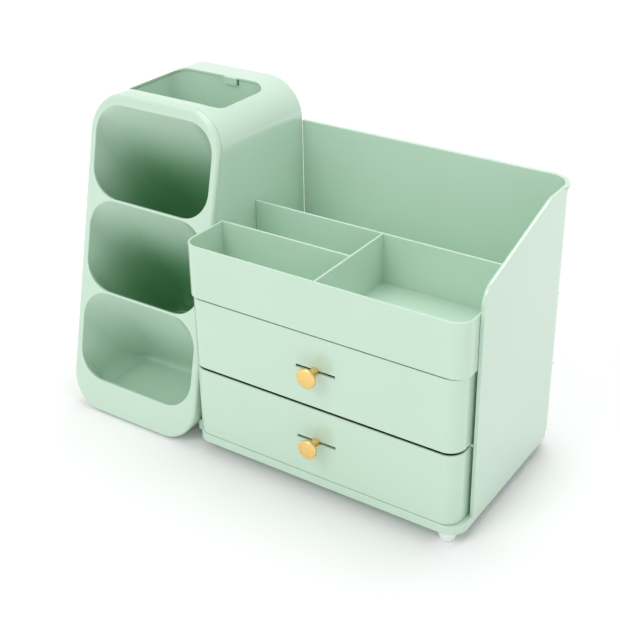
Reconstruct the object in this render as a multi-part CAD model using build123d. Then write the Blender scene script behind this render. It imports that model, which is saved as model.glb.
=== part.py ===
from build123d import *
import math
import os

os.makedirs("parts", exist_ok=True)

# Desk organiser: a two-drawer cabinet with an open tray on top and a leaning brush holder on its left.
# Millimetres.  While modelling, X = 0 is the brush holder's flat right side, Y = 0 the drawer fronts
# and Z = 0 the table; each piece is moved to the bottom centre of the whole when it is written.

# ---- cabinet: overall ----
bay_width = 224.3        # brush holder's side to the inside of the right panel
case_wall = 2.6          # right panel and back wall
case_back_y = 155.5      # outside of the back wall
back_top_z = 216.5       # top of the back wall
panel_front_y = 18.5     # front edge of the right panel
panel_shoulder_z = 188.5  # where the sloping edge would meet the front edge
far = 60.0               # cutters reach this far past what they cut
deep = 400.0             # more than the whole's depth
over = 1.0               # overlap of joined shapes, and how far a hole's cutter stands out
slope_top_y = 113.0      # where the sloping edge reaches the full height
shoulder_r = 14.0
slope_top_r = 40.0
case_corner_r = 18.7     # upright back corner, outside
lip_out = 1.3            # rolled lip round the top of the back wall
lip_height = 2.8
ledge_height = 1.6       # ribs that carry the deck and the tray
ledge_width = 1.8
ledge_y = 22.5           # front end of those ribs
ledge_run_y = 124.0      # and their length
flange_depth = 8.9       # upright flange at the back wall's left end, behind the drawers

# ---- base and feet ----
foot_height = 9.6
foot_top_d = 15.6
foot_bottom_d = 11.0
foot_edge_r = 1.6
foot_peg_d = 5.0
foot_peg_height = 3.0
foot_inset_x = 12.6      # from the base plate's sides
foot_inset_front = 8.8
foot_inset_back = 14.0
foot_left_set_back = 17.0  # the front left foot stands this much further back, out of sight
base_height = 6.6
base_plate_t = 2.2
base_skirt_t = 2.0
base_proud = 0.8         # base plate stands out past the drawer fronts
base_right_inset = 0.8   # base plate stops short of the panel's outside
base_edge_r = 0.9
base_rib_t = 1.4
rib_lift = 2.0           # ribs and screw seats stop short of the skirt's lower edge
base_boss_d = 8.4
base_rib_count = 4
base_side_rib_out = 3.0  # small rib on the left edge, under the brush holder's rounded corner
base_side_rib_height = 9.0
base_side_rib_len = 52.0
base_side_rib_y = 9.5
base_side_rib_bite = 0.4
holder_gap = 0.5         # between that rib and the brush holder

# ---- drawers ----
drawer_gap = 0.3         # running gap under and over a drawer
drawer_height = 55.8
drawer_depth = 143.0
drawer_wall = 1.8
drawer_floor = 2.0
front_r = 12.0           # rounded front corners of base, drawers and tray
drawer_back_r = 5.0
drawer_floor_r = 2.0
drawer_side_gap = 2.2    # to the brush holder's side and to the panel
slit_length = 32.0
slit_height = 2.3
slit_above_mid = 1.5

# ---- decks and tray ----
deck_t = 1.6
tray_gap = 0.9           # upper drawer's rim to the tray
tray_height = 40.9
tray_wall = 1.8
tray_floor = 2.2
tray_side_gap = 0.3
tray_partition_y = 46.0  # partition across the left half
tray_back_y = 89.3       # partition in front of the rear compartment
tray_left_share = 0.4975  # of the tray's width, left of the divider
rim_r = 0.6

# ---- knobs ----
knob_head_d = 15.2
knob_head_t = 3.2
knob_neck_d = 5.6
knob_base_d = 6.6
knob_length = 13.0
knob_edge_r = 1.2
knob_dome = 0.5          # rise of the head's face
knob_collar_t = 1.0      # straight foot of the neck
knob_hole_depth = 8.0
screw_d = 2.8
screw_clear = 0.05
screw_hole_d = 3.4
screw_head_d = 5.6
screw_head_t = 2.0
screw_head_r = 0.8       # softened edge of a knob screw's head
knob_washer_d = 10.0
knob_washer_t = 1.0

# ---- brush holder ----
holder_width = 123.2
holder_bottom_z = 1.5
holder_top_z = 248.5
holder_front_y = -5.2    # foot of the leaning front
holder_lean = 13.5       # degrees
holder_wall = 2.0
holder_top_r = 31.0
holder_bottom_r = 28.0
holder_back_r = 4.0
holder_front_t = 4.5     # depth of the front panel's rim
holder_face_t = 2.2
holder_edge_r = 2.6      # softened front edge
spigot_t = 1.6
spigot_depth = 5.0
seam = 0.15              # assembly clearance between plastic pieces
pocket_width = 110.8
pocket_height = 71.6     # measured up the leaning front
pocket_web = 2.0
pocket_first_s = 27.0    # lowest pocket's lip, up the leaning front
pocket_corner_r = 23.0
pocket_wall = 1.8
pocket_dive = 57.0       # degrees below level
pocket_floor_z = (6.0, 30.0, 95.0)
top_cup_width = 89.7
top_cup_front_y = 67.8
top_cup_back_y = 131.2
top_cup_r = 12.0
top_cup_wall = 1.6
top_cup_clear = 1.2      # cup stands back from the hole's edge
top_cup_floor_z = 150.0
top_cup_floor_t = 2.4    # thickness of its sloping floor
cup_pocket_gap = 0.55    # between that floor and the top pocket's moulding
top_tab_width = 12.0
top_tab_drop = 6.0
top_tab_t = 1.6
top_tab_off = 4.0        # tab's left edge, right of the holder's middle
tab_sunk = 0.4           # tab's top lies below the opening's rim
tab_bite = 0.6
tab_clear = 0.5
pad_d = 12.0
pad_inset_x = 36.0
pad_inset_y = 16.0
pad_recess = 0.6
pad_edge_r = 0.4

# ---- joints between cabinet and brush holder ----
tongue_len = 20.0
tongue_front_y = 60.0
tongue_back_y = 120.0
tongue_clear = 0.25
tongue_apart = 4.0       # from a tongue to the ribs beside it
side_screw_z = (45.0, 105.0)
side_screw_len = 7.0
boss_d = 6.4
boss_web = 2.4           # rib that ties a boss to its wall
boss_height = 14.0
boss_end = 2.0           # a screw hole stops this short of its boss's end
boss_sink = 0.8          # the tray's bosses run this far into its floor
base_screw_inset = 22.0  # from the bay's two sides
tray_screw_inset = 60.0
small_screw_len = 9.0
base_screw_len = 11.0
tray_screw_head_t = 1.2
panel_tongue_len = 15.0
panel_tongue_drop = 4.0
panel_tongue_t = 1.6
panel_tongue_y = (40.0, 110.0)

# ---- heights that follow ----
base_top_z = foot_height + base_height
lower_z = base_top_z + drawer_gap
deck_z = lower_z + drawer_height + drawer_gap
upper_z = deck_z + deck_t + drawer_gap
tray_z = upper_z + drawer_height + tray_gap
tray_top_z = tray_z + tray_height
tray_floor_z = tray_z + tray_floor
tray_boss_z = tray_z - boss_d / 2 + boss_sink

# ---- places that follow ----
panel_out_x = bay_width + case_wall
back_in_y = case_back_y - case_wall
flange_front_y = back_in_y - flange_depth
drawer_x0 = drawer_side_gap
drawer_x1 = bay_width - drawer_side_gap
drawer_mid_x = (drawer_x0 + drawer_x1) / 2
base_x0 = drawer_x0 - base_proud
base_x1 = panel_out_x - base_right_inset
base_back_y = case_back_y - base_proud
behind_y = (flange_front_y + back_in_y) / 2    # middle of the space behind the drawers
tray_x0 = tray_side_gap
tray_x1 = bay_width - tray_side_gap
tray_divider_x = tray_x0 + (tray_x1 - tray_x0) * tray_left_share
base_screw_x = (base_screw_inset, bay_width - base_screw_inset)
tray_screw_x = (tray_screw_inset, bay_width - tray_screw_inset)
lean_tan = math.tan(math.radians(holder_lean))
lean_cos = math.cos(math.radians(holder_lean))
holder_mid_x = -holder_width / 2

# ---- bottom centre of the whole ----
whole_left_x = -holder_width
whole_right_x = panel_out_x + lip_out
whole_front_y = min(holder_front_y, -knob_length)
whole_back_y = case_back_y + lip_out
to_centre = Pos(-(whole_left_x + whole_right_x) / 2, -(whole_front_y + whole_back_y) / 2, 0)


def plan(x0, x1, y0, y1, r_front=0.0, r_back=0.0):
    """Rectangle seen from above, with its front and back corners rounded."""
    shape = Pos((x0 + x1) / 2, (y0 + y1) / 2) * Rectangle(x1 - x0, y1 - y0)
    if r_front > 0:
        shape = fillet(shape.vertices().group_by(Axis.Y)[0], r_front)
    if r_back > 0:
        shape = fillet(shape.vertices().group_by(Axis.Y)[-1], r_back)
    return shape


def slab(shape, z0, z1):
    """Plan shape raised from z0 to z1."""
    return extrude(Pos(0, 0, z0) * shape, z1 - z0)


def block(x0, x1, y0, y1, z0, z1):
    """Plain box between two corners."""
    return Pos((x0 + x1) / 2, (y0 + y1) / 2, (z0 + z1) / 2) * Box(x1 - x0, y1 - y0, z1 - z0)


def rod_x(x0, x1, y, z, d):
    """Round bar along X."""
    return Pos((x0 + x1) / 2, y, z) * Rot(0, 90, 0) * Cylinder(d / 2, x1 - x0)


def rod_y(x, y0, y1, z, d):
    """Round bar along Y."""
    return Pos(x, (y0 + y1) / 2, z) * Rot(90, 0, 0) * Cylinder(d / 2, y1 - y0)


def rod_z(x, y, z0, z1, d):
    """Round bar along Z."""
    return Pos(x, y, (z0 + z1) / 2) * Cylinder(d / 2, z1 - z0)


# ================= base and feet =================

def foot_places():
    """Name and centre of each of the four feet."""
    xs = {"left": base_x0 + foot_inset_x, "right": base_x1 - foot_inset_x}
    ys = {"front": foot_inset_front - base_proud, "rear": base_back_y - foot_inset_back}
    places = {f"foot_{row}_{side}": (xs[side], ys[row]) for row in ys for side in xs}
    places["foot_front_left"] = (xs["left"], ys["front"] + foot_left_set_back)
    return places


def foot(x, y):
    """Tapered foot with a peg that presses into the base plate."""
    body = Pos(x, y, foot_height / 2) * Cone(foot_bottom_d / 2, foot_top_d / 2, foot_height)
    body = fillet(body.edges().group_by(Axis.Z)[0], foot_edge_r)
    return body + rod_z(x, y, foot_height - over, foot_height + foot_peg_height, foot_peg_d)


def base_plate():
    """Shallow upturned tray: a plate with a skirt, ribs and foot sockets below it."""
    outline = plan(base_x0, base_x1, -base_proud, base_back_y, front_r + base_proud,
                   case_corner_r - base_right_inset)
    body = slab(outline, foot_height, base_top_z)
    body = fillet(body.edges().group_by(Axis.Z)[-1], base_edge_r)
    hollow = offset(outline, amount=-base_skirt_t)
    body -= slab(hollow, foot_height, base_top_z - base_plate_t)
    under_z = base_top_z - base_plate_t
    for i in range(base_rib_count):
        x = base_x0 + (base_x1 - base_x0) * (i + 1) / (base_rib_count + 1)
        body += block(x - base_rib_t / 2, x + base_rib_t / 2, over, base_back_y - base_skirt_t / 2,
                      foot_height + rib_lift, under_z + over / 2)
    for x, y in foot_places().values():
        boss = rod_z(x, y, foot_height, under_z + over / 2, foot_top_d)
        body += boss & slab(outline, foot_height, base_top_z)
        body -= rod_z(x, y, foot_height - over, foot_height + foot_peg_height + seam, foot_peg_d + 2 * seam)
    for x in base_screw_x:
        body += rod_z(x, behind_y, foot_height + rib_lift, under_z + over / 2, base_boss_d)
        body -= rod_z(x, behind_y, foot_height, base_top_z + over, screw_hole_d)
    for y in panel_tongue_y:
        body -= block(bay_width - panel_tongue_t - tongue_clear, bay_width + tongue_clear, y - tongue_clear,
                      y + panel_tongue_len + tongue_clear, foot_height - over, base_top_z + over)
    rib = block(-base_side_rib_out, base_x0 + base_side_rib_bite, base_side_rib_y,
                base_side_rib_y + base_side_rib_len, foot_height, foot_height + base_side_rib_height)
    return body + (rib & holder_clear_zone())


def holder_clear_zone():
    """Room outside the brush holder's rounded lower corner, from the table up."""
    room = block(-holder_width, bay_width, whole_front_y, case_back_y, 0, base_top_z + base_side_rib_height)
    return room - slice_along_y(holder_outline(-holder_gap), whole_front_y - far, case_back_y + far)


# ================= cabinet =================

def panel_side_cut():
    """Everything in front of and above the right panel's sloping edge, seen from the side."""
    pts = [(panel_front_y, panel_shoulder_z - far), (panel_front_y, panel_shoulder_z),
           (slope_top_y, back_top_z), (slope_top_y + far, back_top_z)]
    edge = FilletPolyline(*pts, radius=(shoulder_r, slope_top_r))
    y0, y1, top = panel_front_y - far, slope_top_y + far, back_top_z + far
    close = Polyline(pts[-1], (y1, top), (y0, top), (y0, pts[0][1]), pts[0])
    face = make_face(Plane.YZ * (edge + close))
    return Pos(panel_out_x / 2, 0, 0) * extrude(face, panel_out_x, both=True)


def cabinet_shell():
    """Back wall and right panel in one moulding, with a rolled lip and carrying ribs."""
    outer = plan(tray_side_gap, panel_out_x, panel_front_y, case_back_y)
    outer = fillet(outer.vertices().sort_by(Axis.Y)[-2:].sort_by(Axis.X)[-1], case_corner_r)
    inner = plan(tray_side_gap - over, bay_width, panel_front_y - over, back_in_y)
    inner = fillet(inner.vertices().sort_by(Axis.Y)[-2:].sort_by(Axis.X)[-1], case_corner_r - case_wall)
    body = slab(outer, base_top_z, back_top_z) - slab(inner, base_top_z, back_top_z)
    lip_plan = plan(tray_side_gap, panel_out_x + lip_out, panel_front_y, case_back_y + lip_out)
    lip_plan = fillet(lip_plan.vertices().sort_by(Axis.Y)[-2:].sort_by(Axis.X)[-1], case_corner_r + lip_out)
    lip = slab(lip_plan, back_top_z - lip_height, back_top_z)
    lip -= slab(inner, back_top_z - case_corner_r, back_top_z + over)
    body += lip & block(0, panel_out_x + far, case_back_y - case_corner_r, case_back_y + far, 0, back_top_z + far)
    body -= panel_side_cut()
    for top_z in (deck_z, tray_z):
        body += block(bay_width - ledge_width, bay_width + over, ledge_y, ledge_y + ledge_run_y,
                      top_z - ledge_height, top_z)
    body += block(tray_side_gap, tray_side_gap + case_wall, flange_front_y, back_in_y + over,
                  base_top_z, tray_z)
    for z in side_screw_z:
        body -= rod_x(-over, tray_side_gap + case_wall + over, behind_y, z, screw_d + 2 * screw_clear)
    for x in base_screw_x:
        body += rod_z(x, behind_y, base_top_z, base_top_z + boss_height, boss_d)
        body += block(x - boss_web / 2, x + boss_web / 2, behind_y, back_in_y + over, base_top_z,
                      base_top_z + boss_height)
        body -= rod_z(x, behind_y, base_top_z - over, base_top_z + boss_height - boss_end,
                      screw_d + 2 * screw_clear)
    for x in tray_screw_x:
        body -= rod_y(x, back_in_y - over, case_back_y + over, tray_boss_z, screw_hole_d)
    for y in panel_tongue_y:
        body += block(bay_width - panel_tongue_t, bay_width + over, y, y + panel_tongue_len, base_top_z,
                      base_top_z + 2 * panel_tongue_drop)
        body += block(bay_width - panel_tongue_t, bay_width, y, y + panel_tongue_len,
                      base_top_z - panel_tongue_drop, base_top_z + over)
    return body


def tongues(x0, x1, z0, z1, grow=0.0):
    """Two flat tongues, front and back, that cross the brush holder's side; grow makes their slots."""
    front = block(x0, x1, tongue_front_y - grow, tongue_front_y + tongue_len + grow, z0 - grow, z1 + grow)
    back = block(x0, x1, tongue_back_y - grow, tongue_back_y + tongue_len + grow, z0 - grow, z1 + grow)
    return front + back


def middle_deck():
    """Thin shelf between the drawers, on ribs of the panel and slotted into the brush holder."""
    outline = plan(tray_x0, tray_x1, panel_front_y, back_in_y - tray_side_gap)
    corner = outline.vertices().sort_by(Axis.Y)[-2:].sort_by(Axis.X)[-1]
    outline = fillet(corner, case_corner_r - case_wall)
    body = slab(outline, deck_z, deck_z + deck_t)
    body -= block(0, tray_side_gap + case_wall + seam, flange_front_y - seam, case_back_y, deck_z - over,
                  deck_z + far)
    return body + tongues(-holder_wall, tray_x0 + over, deck_z, deck_z + deck_t)


def top_tray():
    """Open tray: one floor to the back wall, walls at the front and sides, two partitions, a divider."""
    outline = plan(tray_x0, tray_x1, 0, back_in_y - tray_side_gap, front_r)
    corner = outline.vertices().sort_by(Axis.Y)[-2:].sort_by(Axis.X)[-1]
    outline = fillet(corner, case_corner_r - case_wall)
    walled = plan(tray_x0, tray_x1, 0, tray_back_y + tray_wall / 2, front_r)
    inside = plan(tray_x0 + tray_wall, tray_x1 - tray_wall, tray_wall, tray_back_y - tray_wall / 2,
                  front_r - tray_wall)
    walls = slab(walled, tray_z, tray_top_z) - slab(inside, tray_floor_z, tray_top_z)
    open_left = block(tray_x0 - over, tray_x0 + tray_wall, tray_partition_y + tray_wall / 2,
                      tray_back_y - tray_wall / 2, tray_floor_z, tray_top_z + over)
    walls -= open_left
    walls += block(tray_x0, tray_divider_x, tray_partition_y - tray_wall / 2,
                   tray_partition_y + tray_wall / 2, tray_floor_z - over, tray_top_z)
    walls += block(tray_divider_x - tray_wall / 2, tray_divider_x + tray_wall / 2, tray_wall / 2,
                   tray_back_y, tray_floor_z - over, tray_top_z)
    walls = fillet(walls.edges().group_by(Axis.Z)[-1], rim_r)
    body = slab(outline, tray_z, tray_floor_z) + walls
    for x in tray_screw_x:
        body += rod_y(x, flange_front_y, back_in_y - seam, tray_boss_z, boss_d)
        body -= rod_y(x, flange_front_y + boss_end, back_in_y + over, tray_boss_z,
                      screw_d + 2 * screw_clear)
    return body + tongues(-holder_wall, tray_x0 + over, tray_z, tray_floor_z)


# ================= drawers and knobs =================

def drawer(z):
    """Open box with rounded front corners and a slit across the middle of its front."""
    outer = plan(drawer_x0, drawer_x1, 0, drawer_depth, front_r, drawer_back_r)
    inner = plan(drawer_x0 + drawer_wall, drawer_x1 - drawer_wall, drawer_wall, drawer_depth - drawer_wall,
                 front_r - drawer_wall, drawer_back_r - drawer_wall)
    hollow = slab(inner, z + drawer_floor, z + drawer_height + far)
    hollow = fillet(hollow.edges().group_by(Axis.Z)[0], drawer_floor_r)
    body = slab(outer, z, z + drawer_height) - hollow
    body = fillet(body.edges().group_by(Axis.Z)[-1], rim_r)
    mid_z = knob_z(z)
    body -= block(drawer_mid_x - slit_length / 2, drawer_mid_x + slit_length / 2, -over, drawer_wall + over,
                  mid_z - slit_height / 2, mid_z + slit_height / 2)
    body -= rod_y(drawer_mid_x, -over, drawer_wall + over, mid_z, screw_hole_d)
    return body


def knob_z(z):
    """Height of the slit and knob of the drawer whose underside is at z."""
    return z + drawer_height / 2 + slit_above_mid


def knob(z):
    """Turned knob: a flared neck and a flat round head with a softened edge."""
    head_r, neck_r, base_r = knob_head_d / 2, knob_neck_d / 2, knob_base_d / 2
    head_back = knob_length - knob_head_t
    e = knob_edge_r
    hole_r = screw_d / 2 + screw_clear
    nose = knob_length - knob_dome
    soft = e * (1 - math.sqrt(0.5))
    face_r = head_r - e
    ball_r = (face_r ** 2 + knob_dome ** 2) / (2 * knob_dome)    # sphere of the domed face
    half = math.asin(face_r / ball_r) / 2
    dome_mid = (ball_r * math.sin(half), knob_length - ball_r * (1 - math.cos(half)))
    profile = Polyline((0, knob_length), (0, knob_hole_depth), (hole_r, knob_hole_depth), (hole_r, 0),
                       (base_r, 0), (base_r, knob_collar_t))
    profile += ThreePointArc((base_r, knob_collar_t), (neck_r, head_back / 2), (base_r, head_back))
    profile += Line((base_r, head_back), (face_r, head_back))
    profile += ThreePointArc((face_r, head_back), (head_r - soft, head_back + soft), (head_r, head_back + e))
    profile += Line((head_r, head_back + e), (head_r, nose - e))
    profile += ThreePointArc((head_r, nose - e), (head_r - soft, nose - soft), (face_r, nose))
    profile += ThreePointArc((face_r, nose), dome_mid, (0, knob_length))
    turned = revolve(make_face(Plane.XZ * profile), Axis.Z)
    return Pos(drawer_mid_x, 0, z) * Rot(90, 0, 0) * turned


def knob_washer(z):
    """Flat washer that bridges the slit inside the drawer front."""
    ring = rod_y(drawer_mid_x, drawer_wall, drawer_wall + knob_washer_t, z, knob_washer_d)
    return ring - rod_y(drawer_mid_x, 0, drawer_wall + far, z, screw_hole_d)


def knob_screw(z):
    """Screw through washer and drawer front into the knob's neck."""
    head_y = drawer_wall + knob_washer_t
    head = rod_y(drawer_mid_x, head_y, head_y + screw_head_t, z, screw_head_d)
    head = fillet(head.edges().group_by(Axis.Y)[-1], screw_head_r)
    return head + rod_y(drawer_mid_x, over - knob_hole_depth, head_y + over / 2, z, screw_d)


# ================= brush holder =================

def holder_outline(inset=0.0):
    """Front outline of the brush holder in the XZ plane: rounded more at the top than at the foot."""
    width, top, foot_z = holder_width - 2 * inset, holder_top_z - inset, holder_bottom_z + inset
    shape = Pos(holder_mid_x, (top + foot_z) / 2) * Rectangle(width, top - foot_z)
    shape = fillet(shape.vertices().group_by(Axis.Y)[0], holder_bottom_r - inset)
    shape = fillet(shape.vertices().group_by(Axis.Y)[-1], holder_top_r - inset)
    return shape


def slice_along_y(shape, y0, y1):
    """Shape drawn as X and Z, drawn out from y0 to y1."""
    standing = Plane(origin=(0, y0, 0), x_dir=(1, 0, 0), z_dir=(0, -over, 0)) * shape
    return extrude(standing, -(y1 - y0))


def front_y(z, back=0.0):
    """Y of the leaning front at height z, moved back by a distance along Y."""
    return holder_front_y + (z - holder_bottom_z) * lean_tan + back


def lean_zone(back0, back1):
    """Everything between two planes parallel to the leaning front, given as distances behind it along Y."""
    low, high = -far, holder_top_z + far
    pts = [(front_y(low, back0), low), (front_y(low, back1), low), (front_y(high, back1), high),
           (front_y(high, back0), high)]
    face = make_face(Plane.YZ * Polyline(*pts, close=True))
    return Pos(holder_mid_x, 0, 0) * extrude(face, holder_width, both=True)


def front_plane(s):
    """Work plane lying in the leaning front, its origin at the middle, s up the slope."""
    z = holder_bottom_z + s * lean_cos
    normal = (0, -lean_cos, lean_cos * lean_tan)
    return Plane(origin=(holder_mid_x, front_y(z), z), x_dir=(1, 0, 0), z_dir=normal)


def dive(length):
    """Vector of that length down the pockets' slope, towards the back."""
    a = math.radians(pocket_dive)
    return Vector(0, length * math.cos(a), -length * math.sin(a))


def pocket_tube(index, grow, reach):
    """Oblique tube behind one opening; grow thickens it all round."""
    s_mid = pocket_first_s + index * (pocket_height + pocket_web) + pocket_height / 2
    mouth = RectangleRounded(pocket_width + 2 * grow, pocket_height + 2 * grow, pocket_corner_r + grow)
    start = front_plane(s_mid) * mouth
    back = dive(reach)
    return extrude(Pos(-back * 0.08) * start, amount=reach * 1.08, dir=back.normalized())


def above(z):
    """Room above a level, as wide and deep as the brush holder."""
    return block(-holder_width - far, far, whole_front_y - far, case_back_y + far, z, holder_top_z + far)


def pocket_reach(index):
    """Length of a pocket's slope, far enough to pass its floor."""
    s_top = pocket_first_s + index * (pocket_height + pocket_web) + pocket_height
    drop = holder_bottom_z + s_top * lean_cos - pocket_floor_z[index]
    return drop / math.sin(math.radians(pocket_dive)) + far / 2


def pockets(grow, floor_drop):
    """All three pockets as solids; floors lowered by floor_drop."""
    whole = None
    for i, floor_z in enumerate(pocket_floor_z):
        tube = pocket_tube(i, grow, pocket_reach(i)) & above(floor_z - floor_drop)
        whole = tube if whole is None else whole + tube
    return whole


def brush_front_panel():
    """Leaning front with three oblique pockets in one moulding, and a spigot that enters the shell."""
    rim = slice_along_y(holder_outline(), whole_front_y - far, case_back_y) & lean_zone(0, holder_front_t)
    rim = fillet(front_edges(rim), holder_edge_r)
    rim -= slice_along_y(holder_outline(holder_wall), whole_front_y - far, case_back_y) & lean_zone(
        holder_face_t, holder_front_t + over)
    spigot = slice_along_y(holder_outline(holder_wall + seam), whole_front_y - far, case_back_y)
    spigot_in = holder_wall + seam + spigot_t
    spigot -= slice_along_y(holder_outline(spigot_in), whole_front_y - 2 * far, case_back_y + over)
    spigot = spigot & lean_zone(holder_face_t - over / 2, holder_front_t + spigot_depth)
    room = slice_along_y(holder_outline(holder_wall + seam), whole_front_y - 2 * far,
                         case_back_y - holder_wall - seam)
    body = rim + spigot
    body += pockets(pocket_wall, pocket_wall) & lean_zone(over / 2, deep) & room
    return body - pockets(0, 0)


def front_edges(solid):
    """Edges that bound the leaning front face of a solid."""
    normal = Vector(0, -lean_cos, lean_cos * lean_tan)
    faces = [f for f in solid.faces() if f.normal_at().dot(normal) > 0.999]
    return faces[0].edges()


def top_hole(grow=0.0):
    """Plan of the opening in the top of the brush holder."""
    half = top_cup_width / 2 + grow
    return plan(holder_mid_x - half, holder_mid_x + half, top_cup_front_y - grow, top_cup_back_y + grow,
                top_cup_r + grow, top_cup_r + grow)


def brush_shell():
    """One-piece housing behind the front panel: sides, top, foot and back."""
    outer = slice_along_y(holder_outline(), whole_front_y - far, case_back_y)
    back_edges = outer.faces().sort_by(Axis.Y)[-1].edges()
    outer = fillet(back_edges, holder_back_r) & lean_zone(holder_front_t + seam, deep)
    body = outer - slice_along_y(holder_outline(holder_wall), whole_front_y - 2 * far,
                                 case_back_y - holder_wall)
    body -= slab(top_hole(), top_cup_floor_z, holder_top_z + far)
    body += block(holder_mid_x + top_tab_off, holder_mid_x + top_tab_off + top_tab_width,
                  top_cup_back_y - top_tab_t, top_cup_back_y + tab_bite, holder_top_z - top_tab_drop,
                  holder_top_z - tab_sunk)
    body -= tongues(-holder_wall - over, 1, deck_z, deck_z + deck_t, tongue_clear)
    body -= tongues(-holder_wall - over, 1, tray_z, tray_floor_z, tongue_clear)
    for top_z in (deck_z, tray_z):
        body += block(-holder_wall / 2, ledge_width, ledge_y, tongue_front_y - tongue_apart,
                      top_z - ledge_height, top_z) & lean_zone(holder_front_t + seam, deep)
        body += block(-holder_wall / 2, ledge_width, tongue_front_y + tongue_len + tongue_apart,
                      tongue_back_y - tongue_apart, top_z - ledge_height, top_z)
    for z in side_screw_z:
        body -= rod_x(-holder_wall - over, 1, behind_y, z, screw_hole_d)
    for x, y in pad_places().values():
        body -= rod_z(x, y, holder_bottom_z - over, holder_bottom_z + pad_recess, pad_d + 2 * seam)
    return body


def brush_top_cup():
    """Lined cup under the top opening; its floor slopes back above the top pocket."""
    outer = slab(top_hole(top_cup_clear + top_cup_wall), top_cup_floor_z - far, holder_top_z)
    inner = slab(top_hole(top_cup_clear), top_cup_floor_z - far, holder_top_z + far)
    roof = slice_along_y(holder_outline(holder_wall + seam), 0, case_back_y - holder_wall - seam)
    last = len(pocket_floor_z) - 1
    below = pocket_wall + cup_pocket_gap
    ceiling = swept_down(pocket_tube(last, below, pocket_reach(last)))
    floor = swept_down(pocket_tube(last, below + top_cup_floor_t, pocket_reach(last)))
    room = above(top_cup_floor_z - top_cup_wall)
    body = (outer & roof & room) - ceiling
    hollow = (inner & above(top_cup_floor_z)) - floor
    tab_x = holder_mid_x + top_tab_off
    tab_room = block(tab_x - tab_clear, tab_x + top_tab_width + tab_clear,
                     top_cup_back_y - top_tab_t - over, top_cup_back_y + top_cup_clear + top_cup_wall + over,
                     holder_top_z - top_tab_drop - tab_clear, holder_top_z)
    return body - hollow - tab_room


def swept_down(tube):
    """The tube and the room under it, where the cup can't be."""
    return tube + Pos(0, 0, -far / 3) * tube + Pos(0, 0, -far * 2 / 3) * tube


def pad_places():
    """Name and centre of the brush holder's four pads."""
    xs = {"left": -holder_width + pad_inset_x, "right": -pad_inset_x}
    ys = {"front": front_y(holder_bottom_z, holder_front_t) + pad_inset_y,
          "rear": case_back_y - pad_inset_y}
    return {f"brush_pad_{row}_{side}": (xs[side], ys[row]) for row in ys for side in xs}


def pad(x, y):
    """Thin round rubber pad let into the brush holder's foot."""
    body = rod_z(x, y, 0, holder_bottom_z + pad_recess, pad_d)
    return fillet(body.edges().group_by(Axis.Z)[0], pad_edge_r)


# ================= screws =================

def side_screws():
    """Two screws from inside the brush holder into the back wall's flange."""
    group = []
    for z in side_screw_z:
        head = rod_x(-holder_wall - screw_head_t, -holder_wall, behind_y, z, screw_head_d)
        group.append(head + rod_x(-holder_wall - over / 2, -holder_wall + side_screw_len, behind_y, z,
                                  screw_d))
    return group


def base_screws():
    """Two screws up through the base plate into the back wall's bosses."""
    group = []
    for x in base_screw_x:
        z = foot_height + rib_lift
        head = rod_z(x, behind_y, z - screw_head_t, z, screw_head_d)
        group.append(head + rod_z(x, behind_y, z - over / 2, z + base_screw_len, screw_d))
    return group


def tray_screws():
    """Two screws through the back wall into the bosses under the tray."""
    group = []
    for x in tray_screw_x:
        head = rod_y(x, case_back_y, case_back_y + tray_screw_head_t, tray_boss_z, screw_head_d)
        group.append(head + rod_y(x, case_back_y - small_screw_len, case_back_y + over / 2, tray_boss_z,
                                  screw_d))
    return group


def write(name, shape):
    """Write one piece, moved to the whole's bottom centre."""
    solids = shape if isinstance(shape, list) else [shape]
    moved = [to_centre * s for s in solids]
    piece = moved[0] if len(moved) == 1 else Compound(children=moved)
    piece.label = name
    export_step(piece, f"parts/{name}.step")


write("base_plate", base_plate())
for name, (x, y) in foot_places().items():
    write(name, foot(x, y))
write("cabinet_shell", cabinet_shell())
write("middle_deck", middle_deck())
write("top_tray", top_tray())
for name, z in (("lower", lower_z), ("upper", upper_z)):
    write(f"drawer_{name}", drawer(z))
    write(f"knob_{name}", knob(knob_z(z)))
    write(f"knob_washer_{name}", knob_washer(knob_z(z)))
    write(f"knob_screw_{name}", knob_screw(knob_z(z)))
write("brush_shell", brush_shell())
write("brush_front_panel", brush_front_panel())
write("brush_top_cup", brush_top_cup())
for name, (x, y) in pad_places().items():
    write(name, pad(x, y))
write("side_screws", side_screws())
write("base_screws", base_screws())
write("tray_screws", tray_screws())
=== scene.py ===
import math
import bmesh
import bpy
import numpy as np
from mathutils import Matrix


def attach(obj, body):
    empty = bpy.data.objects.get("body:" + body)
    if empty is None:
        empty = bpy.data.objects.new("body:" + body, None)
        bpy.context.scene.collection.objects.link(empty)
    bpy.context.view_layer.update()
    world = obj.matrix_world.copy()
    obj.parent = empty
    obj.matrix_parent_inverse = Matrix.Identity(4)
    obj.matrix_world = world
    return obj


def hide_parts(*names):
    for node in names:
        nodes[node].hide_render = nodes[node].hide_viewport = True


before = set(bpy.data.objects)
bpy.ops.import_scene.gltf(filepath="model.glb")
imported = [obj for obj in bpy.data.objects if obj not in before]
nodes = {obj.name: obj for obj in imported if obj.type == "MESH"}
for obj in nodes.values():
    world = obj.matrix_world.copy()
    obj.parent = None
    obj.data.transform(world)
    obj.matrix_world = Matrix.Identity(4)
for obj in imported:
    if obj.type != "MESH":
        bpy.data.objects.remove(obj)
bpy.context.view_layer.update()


# ---- Feet -------------------------------------------------------------------------------------
# Four small tapered feet of milky polypropylene, each moulded with a peg that is pressed into a
# boss under the base plate.  Only the front right one shows; its lower edge is softened.

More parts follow.
